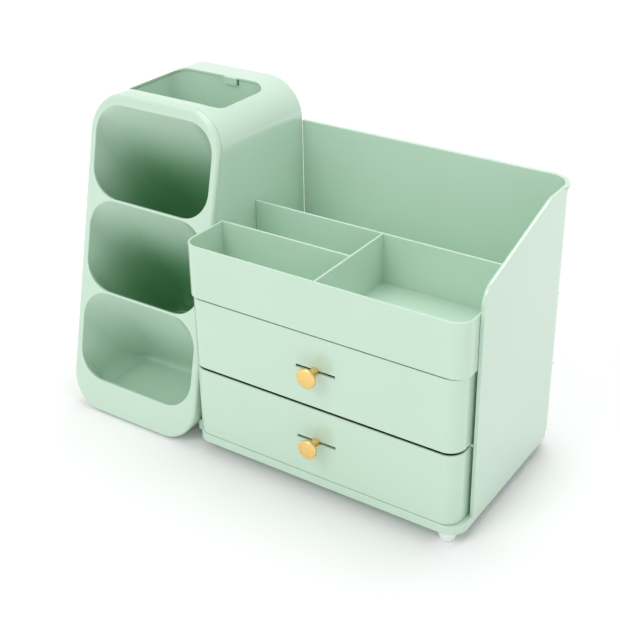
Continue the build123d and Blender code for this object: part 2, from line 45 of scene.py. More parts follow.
# All sizes are in millimetres: x from the brush holder's side, y from the drawer fronts, z from the table.
mm = 0.001
middle = np.array([52.5, 71.9, 0.0])   # middle of the whole, which lies at the frame's origin
foot_height, foot_top_r, foot_low_r, foot_soft = 9.6, 7.8, 5.5, 1.6
peg_r, peg_length = 2.5, 3.0
foot_places = {"front_left": (14.0, 25.0), "front_right": (213.5, 8.0),
               "rear_left": (14.0, 140.7), "rear_right": (213.5, 140.7)}


def linear(hex_colour):
    """sRGB hex to linear colour: c / 12.92 below 0.04045, otherwise (c + 0.055) / 1.055 to the power 2.4."""
    c = np.array([int(hex_colour[i:i + 2], 16) for i in (1, 3, 5)]) / 255
    c = np.where(c < 0.04045, c / 12.92, ((c + 0.055) / 1.055) ** 2.4)
    return (*c.tolist(), 1.0)


def add(tree, kind, settings=None, values=None, links=None):
    """Adds a node: settings are its properties, values its unlinked inputs, links its linked ones."""
    node = tree.nodes.new(kind)
    for key, value in (settings or {}).items():
        setattr(node, key, value)
    for key, value in (values or {}).items():
        node.inputs[key].default_value = value
    for key, socket in (links or {}).items():
        tree.links.new(socket, node.inputs[key])
    return node


def blank_material(name):
    """New material whose node tree is empty."""
    material = bpy.data.materials.new(name)
    material.use_nodes = True
    material.node_tree.nodes.clear()
    return material, material.node_tree


def moulded_plastic(name, colour, deeper, rough, sheen_span, grain, wave, coat=0.0, painted_shade_colour="#7CC08A"):
    """Injection-moulded plastic.  Colour drifts between two near hues over some 70 mm, roughness over 14 mm;
    the height is a spark-eroded grain, 0.7 mm from pit to pit, plus the slow waves, some 40 mm long, that
    cooling leaves in a thin wall; noise scales are per metre.  Where the piece's painted pocket shade
    attribute is set, the colour is mixed towards a dark full green: painted shade, darker deep down a pocket."""
    material, tree = blank_material(name)
    place = add(tree, "ShaderNodeTexCoord").outputs["Object"]
    drift = add(tree, "ShaderNodeTexNoise", {}, {"Scale": 14.0, "Detail": 2.0}, {"Vector": place})
    tone = add(tree, "ShaderNodeMix", {"data_type": "RGBA"}, {6: linear(colour), 7: linear(deeper)},
               {0: drift.outputs["Fac"]})
    # painted shade: by the piece's own attribute the colour mixes towards a dark green deep in the pockets
    inner = add(tree, "ShaderNodeAttribute", {"attribute_name": "painted_pocket_shade"}).outputs["Fac"]
    body = add(tree, "ShaderNodeMix", {"data_type": "RGBA"}, {7: linear(painted_shade_colour)},
               {0: inner, 6: tone.outputs[2]})
    cloud = add(tree, "ShaderNodeTexNoise", {}, {"Scale": 70.0, "Detail": 3.0}, {"Vector": place})
    dull = add(tree, "ShaderNodeMapRange", {}, {"To Min": rough - sheen_span, "To Max": rough + sheen_span},
               {"Value": cloud.outputs["Fac"]})
    pits = add(tree, "ShaderNodeTexNoise", {}, {"Scale": 1400.0, "Detail": 2.0}, {"Vector": place})
    swell = add(tree, "ShaderNodeTexNoise", {}, {"Scale": 26.0, "Detail": 0.0}, {"Vector": place})
    slow = add(tree, "ShaderNodeBump", {}, {"Strength": 1.0, "Distance": wave * mm},
               {"Height": swell.outputs["Fac"]})
    fine = add(tree, "ShaderNodeBump", {}, {"Strength": 0.6, "Distance": grain * mm},
               {"Height": pits.outputs["Fac"], "Normal": slow.outputs["Normal"]})
    shader = add(tree, "ShaderNodeBsdfPrincipled", {},
                 {"IOR": 1.53, "Coat Weight": coat, "Coat Roughness": 0.06},
                 {"Base Color": body.outputs[2], "Roughness": dull.outputs["Result"],
                  "Normal": fine.outputs["Normal"]})
    add(tree, "ShaderNodeOutputMaterial", {}, {}, {"Surface": shader.outputs["BSDF"]})
    return material


def skin(grid, first=True, last=True, skip=None):
    """Faces of a grid of closed rings: vertex = ring * points + place, quads between neighbouring rings
    less those that skip marks, and a flat face at either end.  Returns points and groups of faces."""
    k, n = grid.shape[:2]
    here = np.arange(k * n).reshape(k, n)
    there = np.roll(here, -1, 1)
    quads = np.stack([here[:-1], there[:-1], there[1:], here[1:]], -1)
    groups = [quads.reshape(-1, 4) if skip is None else quads[~skip]]
    if first:
        groups.append(here[:1])
    if last:
        groups.append(here[-1:])
    return grid.reshape(-1, 3), groups


def build(name, skins, material, body, slot, *stands_for, sharp=38.0, fills=()):
    """Joins skins into one mesh, merges shared points, closes the flat holes that fills names, turns faces
    outwards and smooths them by their area; edges sharper than the given angle stay crisp."""
    points, faces = [], []
    for p, groups in skins:
        start = sum(len(q) for q in points)
        for group in groups:
            faces += (group + start).tolist()
        points.append(p)
    mesh = bpy.data.meshes.new(name)
    mesh.from_pydata(((np.vstack(points) - middle) * mm).tolist(), [], faces)
    bm = bmesh.new()
    bm.from_mesh(mesh)
    bmesh.ops.remove_doubles(bm, verts=bm.verts, dist=2e-6)
    for fill in fills:
        edges = [e for e in bm.edges if e.is_boundary and fill(e)]
        bmesh.ops.triangle_fill(bm, use_beauty=True, use_dissolve=False, edges=edges)
    bmesh.ops.recalc_face_normals(bm, faces=bm.faces)
    bm.to_mesh(mesh)
    bm.free()
    mesh.shade_smooth()
    mesh.set_sharp_from_angle(angle=math.radians(sharp))
    mesh.materials.append(material)
    piece = bpy.data.objects.new(name, mesh)
    bpy.context.scene.collection.objects.link(piece)
    even = piece.modifiers.new("even shading", "WEIGHTED_NORMAL")
    even.keep_sharp = True
    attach(piece, body)
    if stands_for:
        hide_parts(*stands_for)
    return piece


def turned(profile, centre, axis, n=64):
    """Surface of revolution: each profile pair (radius, distance) is a circle about the axis through the
    centre."""
    r, h = np.array(profile, float).T
    a = np.linspace(0, 2 * math.pi, n, endpoint=False)
    u, v, w = {"z": ((1, 0, 0), (0, 1, 0), (0, 0, 1)), "y": ((1, 0, 0), (0, 0, 1), (0, 1, 0))}[axis]
    ring = np.cos(a)[:, None] * np.array(u) + np.sin(a)[:, None] * np.array(v)
    return np.array(centre) + r[:, None, None] * ring + h[:, None, None] * np.array(w)


def bend(d, z, r, a0, a1, n=5):
    """Profile points of a circular arc: (d + r cos a, z + r sin a)."""
    a = np.radians(np.linspace(a0, a1, n))
    return list(zip(d + r * np.cos(a), z + r * np.sin(a)))


# Milky, slightly soft polypropylene: nearly white, with the dull shine of a waxy surface.
milky_pp = moulded_plastic("milky_polypropylene_moulded", "#F4F7F6", "#E9EFEE", 0.34, 0.05, 0.02, 0.2)
foot_profile = [(foot_low_r - foot_soft, 0)] + bend(foot_low_r - foot_soft, foot_soft, foot_soft, -90, 8, 7)
foot_profile += [(foot_top_r, foot_height), (peg_r, foot_height), (peg_r, foot_height + peg_length)]
for place, (x, y) in foot_places.items():
    build(f"soft_foot_{place}", [skin(turned(foot_profile, (x, y, 0), "z", 48))], milky_pp, "cabinet",
          "white_foot", f"foot_{place}")


# ---- Base plate -------------------------------------------------------------------------------
# Shallow upturned tray of mint ABS under the cabinet: a plate with a skirt that stands out a little
# past the drawers, stiffened by ribs below.  A small rib on its left fills the gap at the holder.

base_x0, base_x1, base_y0, base_y1 = 1.4, 226.1, -0.8, 154.7
base_radii = (12.8, 12.8, 17.9, 2.5)   # front left, front right, back right, back left
base_top, base_plate_t, skirt_t, skirt_soft, base_soft = 16.2, 2.2, 2.0, 0.3, 0.9
base_rib_t, base_rib_y0, base_rib_y1, base_rib_lift, root = 1.4, 1.5, 153.5, 2.0, 0.4
side_rib_x0, side_rib_y0, side_rib_y1, side_rib_low, side_rib_top = -3.0, 9.5, 61.5, 15.8, 18.6
hollow_x, hollow_z, hollow_r = -28.0, 29.5, 28.5   # the holder's rounded corner with a gap of 0.5

# Mint ABS, injection moulded in a lightly polished tool: satin gloss, pale green, bright at its edges.
mint_abs = moulded_plastic("mint_abs_moulded", "#CAE3D1", "#C3DFCA", 0.19, 0.03, 0.008, 0.12, coat=0.5)


def arc(cx, cy, r, a0, a1, n):
    """Points and outward normals of an arc: centre + r (cos a, sin a)."""
    a = np.radians(np.linspace(a0, a1, n))
    out = np.stack([np.cos(a), np.sin(a)], -1)
    return np.array([cx, cy]) + r * out, out


def round_plan(x0, x1, y0, y1, radii, front_xs=(), n=12):
    """Closed path of a rectangle with its own radius at each corner (front left, front right, back right,
    back left), anticlockwise: points and outward normals.  front_xs adds points on the front run."""
    fl, fr, br, bl = radii
    runs = [arc(x0 + fl, y0 + fl, fl, 180, 270, n)]
    if len(front_xs):
        xs = np.array(front_xs, float)
        runs.append((np.stack([xs, np.full_like(xs, y0)], -1), np.tile([0.0, -1.0], (len(xs), 1))))
    runs += [arc(x1 - fr, y0 + fr, fr, 270, 360, n), arc(x1 - br, y1 - br, br, 0, 90, n),
             arc(x0 + bl, y1 - bl, bl, 90, 180, n)]
    return np.vstack([p for p, _ in runs]), np.vstack([q for _, q in runs])


def carried(path, profile):
    """Rings of a profile carried round a plan path: point + d * outward normal, at height z."""
    points, out = path
    d, z = np.array(profile, float).T
    ring = points[None] + d[:, None, None] * out[None]
    return np.dstack([ring, np.broadcast_to(z[:, None], ring.shape[:2])])


def bar(x0, x1, y0, y1, z0, z1, soft=0.3):
    """Small straight bar with softened upright edges and top."""
    path = round_plan(x0, x1, y0, y1, (soft,) * 4, n=4)
    return skin(carried(path, [(0, z0), (0, z1 - soft)] + bend(-soft, z1 - soft, soft * 0.99, 0, 90, 4)))


def drawn(section, y0, y1):
    """Bar along Y whose X and Z outline is given."""
    xz = np.array(section, float)
    rings = [np.column_stack([xz[:, 0], np.full(len(xz), y), xz[:, 1]]) for y in (y0, y1)]
    return skin(np.array(rings))


base_path = round_plan(base_x0, base_x1, base_y0, base_y1, base_radii)
base_profile = [(-skirt_t, base_top - base_plate_t), (-skirt_t, foot_height), (-skirt_soft, foot_height)]
base_profile += bend(-skirt_soft, foot_height + skirt_soft, skirt_soft, -90, 0, 3)
base_profile += bend(-base_soft, base_top - base_soft, base_soft, 0, 90)
base_skins = [skin(carried(base_path, base_profile))]
for share in (0.2, 0.4, 0.6, 0.8):
    x = base_x0 + (base_x1 - base_x0) * share
    base_skins.append(bar(x - base_rib_t / 2, x + base_rib_t / 2, base_rib_y0, base_rib_y1,
                          foot_height + base_rib_lift, base_top - base_plate_t + root))
hollow_zs = np.linspace(side_rib_top, side_rib_low, 6)
side_rib = [(side_rib_x0, foot_height), (base_x0 + root, foot_height), (base_x0 + root, side_rib_top)]
side_rib += [(hollow_x + math.sqrt(hollow_r ** 2 - (hollow_z - z) ** 2), z) for z in hollow_zs]
base_skins.append(drawn(side_rib, side_rib_y0, side_rib_y1))
build("base_tray", base_skins, mint_abs, "cabinet", "mint_plastic", "base_plate")


# ---- Back wall and right panel ----------------------------------------------------------------
# One tall moulding: the back wall turns the rear corner and becomes the right panel, whose top
# slopes down to a rounded shoulder.  A rolled lip runs round the back and the corner.

bay, case_wall, case_back, back_top = 224.3, 2.6, 155.5, 216.5
panel_front, shoulder_z, shoulder_r, slope_end, slope_r, corner_r = 18.5, 188.5, 14.0, 113.0, 40.0, 18.7
lip_out, lip_height, rim_soft = 1.3, 2.8, 0.7
wall_x0 = 0.03                         # a hair off the brush holder, so that no gap shows
deck_low, tray_low = 72.6, 131.2       # undersides of deck and tray, which rest on the panel's rails
rail_x0, rail_x1, rail_y0, rail_y1, rail_t = bay - 1.8, bay + 0.8, 22.5, 146.5, 1.6
flange_x0, flange_x1, flange_y0, flange_y1, flange_top = 0.32, 2.9, 144.0, 153.5, 131.0
boss_inset, boss_y, boss_r, boss_length, pilot_r, pilot_low = 22.0, 148.45, 3.2, 14.0, 1.5, 4.0
gusset_half, gusset_y0, gusset_y1, gusset_length = 1.2, 151.0, 153.4, 13.9


def slope_edge():
    """Side view of the panel's top, y and z from the front edge backwards: an arc of 14 that touches front
    edge and slope, the straight slope, and a curve (1 - t)^2 a + 2 t (1 - t) b + t^2 c that leads into the
    level; its arms are as long as those of an arc of 40."""
    foot, head = np.array([panel_front, shoulder_z]), np.array([slope_end, back_top])
    climb = math.atan2(head[1] - foot[1], head[0] - foot[0])
    run = np.array([math.cos(climb), math.sin(climb)])
    turn = math.pi / 2 - climb
    centre = np.array([panel_front + shoulder_r, shoulder_z - shoulder_r * math.tan(turn / 2)])
    a = np.linspace(math.pi, math.pi - turn, 16)
    first = centre + shoulder_r * np.stack([np.cos(a), np.sin(a)], -1)
    arm = slope_r * math.tan(climb / 2)
    start, stop = head - run * arm, head + np.array([arm, 0])
    t = np.linspace(0, 1, 8)[:, None]
    hollow = (1 - t) ** 2 * start + 2 * t * (1 - t) * head + t ** 2 * stop
    return np.vstack([first, hollow, [[case_back - corner_r, back_top]]])


edge = slope_edge()
panel_x = bay + case_wall
turn_points, turn_out = arc(panel_x - corner_r, case_back - corner_r, corner_r, 90, 0, 20)
back_points = np.array([[x, case_back] for x in (wall_x0, 0.9, 60.0, 140.0)])
side_points = np.column_stack([np.full(len(edge) - 1, panel_x), edge[-2::-1, 0]])
level_count = len(back_points) + len(turn_points)
path_points = np.vstack([back_points, turn_points, side_points])
path_out = np.vstack([np.tile([0.0, 1.0], (len(back_points), 1)), turn_out,
                      np.tile([1.0, 0.0], (len(side_points), 1))])
path_top = np.concatenate([np.full(level_count, back_top), edge[-2::-1, 1]])
lip_on = np.concatenate([np.ones(level_count), np.zeros(len(side_points))])
# the lip ends in a short rounded step just past the corner
step = np.array([[panel_x, case_back - corner_r - 0.3], [panel_x, case_back - corner_r - 0.9]])
path_points = np.insert(path_points, level_count, step, axis=0)
path_out = np.insert(path_out, level_count, [[1.0, 0.0]] * 2, axis=0)
path_top = np.insert(path_top, level_count, [back_top] * 2)
lip_on = np.insert(lip_on, level_count, [0.75, 0.0])


def wall_ring(i):
    """Closed section of the wall at one place of its path: up the outside, over the lip, down the inside.
    Each point lies its distance away from the path, along the outward normal there; the lip's small
    rounding steps stay the same all the way."""
    top, lip = path_top[i], lip_on[i] * lip_out
    under = top - lip_height
    outer = [(0, base_top), (0, under - 0.5), (0.45 * lip, under + 0.1), (lip, under + 0.8), (lip, top - 0.9),
             (lip * 0.8 - 0.1, top - 0.25), (lip * 0.3 - 0.7, top)]
    inner = [(-case_wall + rim_soft, top), (-case_wall + 0.2, top - 0.2), (-case_wall, top - rim_soft),
             (-case_wall, base_top)]
    d, z = np.array(outer + inner).T
    return np.column_stack([path_points[i] + d[:, None] * path_out[i], z])


wall_grid = np.array([wall_ring(i) for i in range(len(path_points))])
wall_skins = [skin(wall_grid)]
for rail_top in (deck_low, tray_low):
    wall_skins.append(bar(rail_x0, rail_x1, rail_y0, rail_y1, rail_top - rail_t, rail_top))
wall_skins.append(bar(flange_x0, flange_x1, flange_y0, flange_y1, base_top, flange_top))
boss_profile = [(boss_r, base_top), (boss_r, base_top + boss_length), (pilot_r, base_top + boss_length),
                (pilot_r, base_top + pilot_low)]
for x in (boss_inset, bay - boss_inset):
    wall_skins.append(skin(turned(boss_profile, (x, boss_y, 0), "z", 32)))
    wall_skins.append(bar(x - gusset_half, x + gusset_half, gusset_y0, gusset_y1, base_top,
                          base_top + gusset_length))
build("back_and_side_wall", wall_skins, mint_abs, "cabinet", "mint_plastic", "cabinet_shell", sharp=50)


# ---- Deck between the drawers -----------------------------------------------------------------
# A plain thin sheet of the same ABS that rests on the panel's and the holder's rails; only its front
# edge shows beside the panel.

def dress(name, material):
    """Gives a CAD node, whose shape is right, its real finish."""
    nodes[name].data.materials.clear()
    nodes[name].data.materials.append(material)


dress("middle_deck", mint_abs)


# ---- Drawers ----------------------------------------------------------------------------------
# Two open boxes moulded in one piece, with rounded front corners, softened rims and a narrow slit
# across the front behind the knob.  Inside, the floor meets the walls in a small hollow radius.

drawer_x0, drawer_x1, drawer_depth, drawer_wall, drawer_height = 2.2, 222.1, 143.0, 1.8, 55.8
drawer_mid = (drawer_x0 + drawer_x1) / 2
front_r, drawer_back_r, drawer_floor_t, drawer_floor_r = 12.0, 5.0, 2.0, 2.0
under_soft, rim_out_soft, rim_in_soft = 0.4, 0.35, 0.75
slit_half, slit_up, slit_tall = 16.0, 1.5, 2.3
drawer_low = {"lower": 16.5, "upper": 74.5}


def drawer_skins(z):
    """Rings outside from the underside up, over the rim and down inside to the floor; the slit's faces are
    left out of both walls and its four sides join them."""
    w, top = drawer_wall, z + drawer_height
    slit_low = z + drawer_height / 2 + slit_up - slit_tall / 2
    slit_high = slit_low + slit_tall
    xs = np.linspace(drawer_mid - slit_half, drawer_mid + slit_half, 9)
    corner = 12   # points of the front left corner, which come before the slit's
    radii = (front_r, front_r, drawer_back_r, drawer_back_r)
    path = round_plan(drawer_x0, drawer_x1, 0, drawer_depth, radii, xs, corner)
    profile = bend(-under_soft, z + under_soft, under_soft, -90, 0, 4)
    out_row = len(profile)
    profile += [(0, slit_low), (0, slit_high)]
    profile += bend(-rim_out_soft, top - rim_out_soft, rim_out_soft, 0, 90, 6)
    profile += bend(-w + rim_in_soft, top - rim_in_soft, rim_in_soft, 90, 180, 6)
    in_row = len(profile)
    profile += [(-w, slit_high), (-w, slit_low)]
    profile += bend(-w - drawer_floor_r, z + drawer_floor_t + drawer_floor_r, drawer_floor_r, 0, -90, 7)
    grid = carried(path, profile)
    skip = np.zeros((len(profile) - 1, grid.shape[1]), bool)
    skip[[out_row, in_row], corner:corner + len(xs) - 1] = True
    slit = slice(corner, corner + len(xs))
    loop_out = np.vstack([grid[out_row, slit], grid[out_row + 1, slit][::-1]])
    loop_in = np.vstack([grid[in_row + 1, slit], grid[in_row, slit][::-1]])
    return [skin(grid, skip=skip), skin(np.array([loop_out, loop_in]), first=False, last=False)]


for level, z in drawer_low.items():
    build(f"{level}_drawer_box", drawer_skins(z), mint_abs, f"{level}_drawer", "mint_plastic",
          f"drawer_{level}")


# ---- Knobs ------------------------------------------------------------------------------------
# Small furniture knobs turned from brass bar: a flared neck and a flat, barely domed head with a
# softened edge.  Satin turned finish, fine circular marks; a steel screw and washer hold each.

knob_length, head_r, head_t, base_r, neck_r, knob_soft, knob_dome = 13.0, 7.6, 3.2, 3.3, 2.8, 1.2, 0.5
turning_step = 0.35   # from one lathe mark to the next, coarser than real so that it shows


def turned_brass(name):
    """Brass turned on a lathe: warm yellow metal; the height is a fine wave over the distance from the axis,
    and the roughness drifts a little with handling, over some 4 mm."""
    material, tree = blank_material(name)
    place = add(tree, "ShaderNodeTexCoord").outputs["Object"]
    along = add(tree, "ShaderNodeAttribute", {"attribute_name": "cut"}).outputs["Fac"]
    turns = add(tree, "ShaderNodeMath", {"operation": "MULTIPLY"}, {1: 2 * math.pi / turning_step},
                {0: along})
    mark = add(tree, "ShaderNodeMath", {"operation": "SINE"}, {}, {0: turns.outputs[0]})
    smudge = add(tree, "ShaderNodeTexNoise", {}, {"Scale": 260.0, "Detail": 3.0}, {"Vector": place})
    dull = add(tree, "ShaderNodeMapRange", {}, {"To Min": 0.20, "To Max": 0.34},
               {"Value": smudge.outputs["Fac"]})
    tone = add(tree, "ShaderNodeMix", {"data_type": "RGBA"}, {6: linear("#F4CF8C"), 7: linear("#EBC27A")},
               {0: smudge.outputs["Fac"]})
    relief = add(tree, "ShaderNodeBump", {}, {"Strength": 0.35, "Distance": 0.02 * mm},
                 {"Height": mark.outputs[0]})
    shader = add(tree, "ShaderNodeBsdfPrincipled", {}, {"Metallic": 1.0},
                 {"Base Color": tone.outputs[2], "Roughness": dull.outputs["Result"],
                  "Normal": relief.outputs["Normal"]})
    add(tree, "ShaderNodeOutputMaterial", {}, {}, {"Surface": shader.outputs["BSDF"]})
    return material


satin_brass = turned_brass("brass_turned_satin")


def knob_profile():
    """Radius and distance from the drawer front: collar; neck, neck_r + (base_r - neck_r) s^2 with s from -1
    to 1; back of the head; softened edge; face, which rises by dome (1 - (r / rim)^2)."""
    back, nose, rim = knob_length - head_t, knob_length - knob_dome, head_r - knob_soft
    rows = [(base_r - 0.25, 0), (base_r, 0.25)]
    rows += [(neck_r + (base_r - neck_r) * s * s, 1 + (back - 1.35) * (s + 1) / 2)
             for s in np.linspace(-1, 1, 13)]
    rows += [(base_r + 0.5, back)] + bend(rim, back + knob_soft, knob_soft, -90, 0, 7)
    rows += bend(rim, nose - knob_soft, knob_soft, 0, 90, 7)
    return rows + [(r, nose + knob_dome * (1 - (r / rim) ** 2)) for r in np.linspace(rim, 0.4, 10)[1:]]


def points_of(piece):
    """The piece's vertices back in millimetres."""
    spots = np.zeros(len(piece.data.vertices) * 3)
    piece.data.vertices.foreach_get("co", spots)
    return spots.reshape(-1, 3) / mm + middle


def mark_points(piece, name, values):
    """Gives each vertex its value of a named attribute, which the piece's material reads."""
    piece.data.attributes.new(name, "FLOAT", "POINT").data.foreach_set("value", values.astype(np.float32))


for level, z in drawer_low.items():
    knob_z = z + drawer_height / 2 + slit_up
    grid = turned([(r, -h) for r, h in knob_profile()], (drawer_mid, 0, knob_z), "y", 72)
    knob = build(f"{level}_knob_turned", [skin(grid)], satin_brass, f"{level}_drawer", "brushed_brass",
                 f"knob_{level}")
    spots = points_of(knob)
    radius = np.hypot(spots[:, 0] - drawer_mid, spots[:, 2] - knob_z)
    mark_points(knob, "cut", radius + np.where(radius > head_r - knob_soft - 0.01, -spots[:, 1], 0))


# ---- Screws and washers -----------------------------------------------------------------------
# Zinc-plated steel: pan-head screws with a cross recess, and flat washers behind the slits.

screw_r, screw_rise, shank_r, shank_length, tip_r, tip_length = 2.8, 1.2, 1.4, 9.0, 0.5, 0.6
recess_half, recess_reach, recess_depth = 0.45, 1.75, 0.75
tray_screw_z, tray_screw_xs = 128.8, (60.0, bay - 60.0)


def plated_steel(name):
    """Bright zinc plate on steel: grey metal with a faint cloudiness of the plating, some 3 mm across."""
    material, tree = blank_material(name)
    place = add(tree, "ShaderNodeTexCoord").outputs["Object"]
    cloud = add(tree, "ShaderNodeTexNoise", {}, {"Scale": 330.0, "Detail": 4.0}, {"Vector": place})
    dull = add(tree, "ShaderNodeMapRange", {}, {"To Min": 0.22, "To Max": 0.38},
               {"Value": cloud.outputs["Fac"]})
    tone = add(tree, "ShaderNodeMix", {"data_type": "RGBA"}, {6: linear("#C3C6C9"), 7: linear("#AEB2B6")},
               {0: cloud.outputs["Fac"]})
    relief = add(tree, "ShaderNodeBump", {}, {"Strength": 0.3, "Distance": 0.01 * mm},
                 {"Height": cloud.outputs["Fac"]})
    shader = add(tree, "ShaderNodeBsdfPrincipled", {}, {"Metallic": 1.0},
                 {"Base Color": tone.outputs[2], "Roughness": dull.outputs["Result"],
                  "Normal": relief.outputs["Normal"]})
    add(tree, "ShaderNodeOutputMaterial", {}, {}, {"Surface": shader.outputs["BSDF"]})
    return material


zinc_steel = plated_steel("steel_zinc_plated")
for level in drawer_low:
    dress(f"knob_washer_{level}", zinc_steel)
    dress(f"knob_screw_{level}", zinc_steel)
for name in ("side_screws", "base_screws"):
    dress(name, zinc_steel)


def cross_head(x, z, y):
    """Pan head seen from behind: a dome over a polar grid, with a cross recess sunk where either of two
    crossing bars of 0.9 mm covers the point; the shank runs forward and ends in a short taper."""
    rho = np.concatenate([[0.02], np.linspace(0.25, 2.0, 15), [2.3, 2.55, 2.72, screw_r]])[:, None]
    a = np.linspace(0, 2 * math.pi, 96, endpoint=False)[None]
    u, v = rho * np.cos(a), rho * np.sin(a)
    inside = np.clip((recess_reach - np.maximum(abs(u), abs(v))) / 0.2, 0, 1)
    bars = np.clip((recess_half - np.minimum(abs(u), abs(v))) / 0.12, 0, 1)
    dome = screw_rise * np.sqrt(np.clip(1 - (rho / screw_r) ** 2 * 0.94, 0, 1))
    face = np.dstack([x + u, y + dome - recess_depth * inside * bars, z + v])
    shank = [np.column_stack([x + q * np.cos(a[0]), np.full(a.size, y - d), z + q * np.sin(a[0])])
             for q, d in ((screw_r, 0.0), (shank_r, 0.0), (shank_r, shank_length),
                          (tip_r, shank_length + tip_length))]
    return skin(np.vstack([face, np.array(shank)]))


build("rear_screws", [cross_head(x, tray_screw_z, case_back) for x in tray_screw_xs], zinc_steel, "cabinet",
      "steel", "tray_screws", sharp=30)


# ---- Open tray --------------------------------------------------------------------------------
# One moulding over the drawers: a floor that runs back to the rear wall, walls round the front,
# a cross wall before the rear compartment, a short one at the left and a divider.

tray_high, tray_t, tray_wall, tray_soft, tray_boss_y = 172.1, 2.2, 1.8, 0.7, 144.2
tray_x0, tray_x1, tray_back, part_y, rear_y = 0.3, 224.0, 152.6, 46.0, 89.3
divider_x = tray_x0 + (tray_x1 - tray_x0) * 0.4975
half_wall = tray_wall / 2


def wall_along(points, out, z0, z1):
    """Upright wall with a rounded top: its closed section is set at each place of an open plan path, each
    point at its distance along the outward normal."""
    t, s = tray_wall, tray_soft
    section = bend(-under_soft, z0 + under_soft, under_soft, -90, 0, 3) + bend(-s, z1 - s, s, 0, 90, 5)
    section += bend(-t + s, z1 - s, s, 90, 180, 5)
    section += [(-t, z0)]
    d, z = np.array(section).T
    flat = points[:, None] + d[None, :, None] * out[:, None]
    return skin(np.dstack([flat, np.broadcast_to(z, flat.shape[:2])]))


def straight(x0, y0, x1, y1):
    """Two ends of a straight wall and its outward normal, which lies to the right of the run."""
    run = np.array([x1 - x0, y1 - y0]) / math.hypot(x1 - x0, y1 - y0)
    return np.array([[x0, y0], [x1, y1]], float), np.tile([run[1], -run[0]], (2, 1))


left_run = np.array([[tray_x0, part_y + 0.85]]), np.array([[-1.0, 0.0]])
right_run = np.array([[tray_x1, rear_y + 0.85]]), np.array([[1.0, 0.0]])
left_arc = arc(tray_x0 + front_r, front_r, front_r, 180, 270, 16)
right_arc = arc(tray_x1 - front_r, front_r, front_r, 270, 360, 16)
front_points, front_out = (np.vstack(part) for part in zip(left_run, left_arc, right_arc, right_run))
floor_path = round_plan(tray_x0, tray_x1, 0, tray_back, (front_r, front_r, 15.8, 1.0), n=16)
# Walls that meet differ by some hundredths in reach and height, so that no two faces share a plane.
tray_skins = [
    wall_along(front_points, front_out, tray_low, tray_high),
    wall_along(*straight(tray_x0 + 0.02, rear_y - half_wall, tray_x1 - 0.02, rear_y - half_wall),
               tray_low + 1.1, tray_high - 0.01),
    wall_along(*straight(tray_x0 + 0.03, part_y - half_wall, divider_x, part_y - half_wall),
               tray_low + 1.2, tray_high - 0.02),
    wall_along(*straight(divider_x + half_wall, 0.4, divider_x + half_wall, rear_y),
               tray_low + 1.3, tray_high - 0.03),
    skin(carried(floor_path, [(-0.2, tray_low + 0.05), (-0.2, tray_low + tray_t)])),
]
for x in tray_screw_xs:
    boss = turned([(boss_r, tray_boss_y), (boss_r, tray_back)], (x, 0, tray_screw_z), "y", 32)
    tray_skins.append(skin(boss))
build("open_tray", tray_skins, mint_abs, "cabinet", "mint_plastic", "top_tray")


# ---- Brush holder's housing -------------------------------------------------------------------
# One-piece mint ABS housing, cut off at the front by the leaning face; the top has a rounded
# opening with a thin softened edge and a small tab at the back of it.

holder_w, holder_low, holder_high, holder_front, holder_wall, seam = 123.2, 1.5, 248.5, -5.2, 2.0, 0.15
low_r, high_r, holder_back_r, inner_back_r, face_depth, seam_soft = 28.0, 31.0, 4.0, 2.5, 4.5, 0.45
lean = math.radians(13.5)
holder_mid = -holder_w / 2
hole_half, hole_y0, hole_y1, hole_r = 44.85, 67.8, 131.2, 12.0
patch_half, patch_y0, patch_y1 = 49.0, 64.6, 134.6   # frame in which rings lead to the opening
tab_x0, tab_x1, tab_y0, tab_y1, tab_z0, tab_z1 = 4.0, 16.0, 129.6, 131.9, 242.5, 248.1
ledge_x0, ledge_x1, ledge_runs = -1.0, 1.8, ((27.0, 56.0), (84.0, 116.0))
back_rows = 8   # rings of the housing's rounded back


def lean_y(z, back=0.0):
    """Y of the leaning front at height z, moved back: front + (z - foot) tan 13.5 degrees + back."""
    return holder_front + (z - holder_low) * math.tan(lean) + back


def top_z(x, inset):
    """Height of the housing's top at x: level in the middle, then a quarter circle of 31 down each
    shoulder."""
    past = np.clip(np.abs(x - holder_mid) - (holder_w / 2 - high_r), 0, None)
    r = high_r - inset
    return holder_high - high_r + np.sqrt(np.clip(r ** 2 - past ** 2, 0, None))


def housing_outline(inset):
    """Rounded front outline moved inwards, with evenly spread places over the patch round the opening."""
    side = [arc(-low_r, holder_low + low_r, low_r - inset, -90, 0, 16)[0]]
    span = np.linspace(patch_half, -patch_half, 27) + holder_mid
    reach = math.degrees(math.acos((patch_half - (holder_w / 2 - high_r)) / (high_r - inset)))
    side += [arc(-high_r, holder_high - high_r, high_r - inset, 0, reach, 14)[0][:-1]]
    side += [np.column_stack([span, top_z(span, inset)])]
    side += [arc(-holder_w + high_r, holder_high - high_r, high_r - inset, 180 - reach, 180, 14)[0][1:]]
    side += [arc(-holder_w + low_r, holder_low + low_r, low_r - inset, 180, 270, 16)[0]]
    start = len(side[0]) + len(side[1])
    return np.vstack(side), start, len(span)


def opening_edge(square, grow):
    """Points of the rounded opening that lie on the same rays from its middle as those of a square frame."""
    loop, _ = round_plan(holder_mid - hole_half - grow, holder_mid + hole_half + grow, hole_y0 - grow,
                         hole_y1 + grow, (hole_r + grow,) * 4, n=60)
    loop = np.vstack([loop, loop[:1]])
    fine = np.vstack([np.linspace(a, b, 30, endpoint=False) for a, b in zip(loop[:-1], loop[1:])])
    centre = np.array([holder_mid, (hole_y0 + hole_y1) / 2])
    ray = np.arctan2(*(fine - centre).T[::-1])
    order = np.argsort(ray)
    far = np.hypot(*(fine - centre).T)[order]
    want = np.arctan2(*(square - centre).T[::-1])
    r = np.interp(want, ray[order], far, period=2 * math.pi)
    return centre + r[:, None] * np.stack([np.cos(want), np.sin(want)], -1)


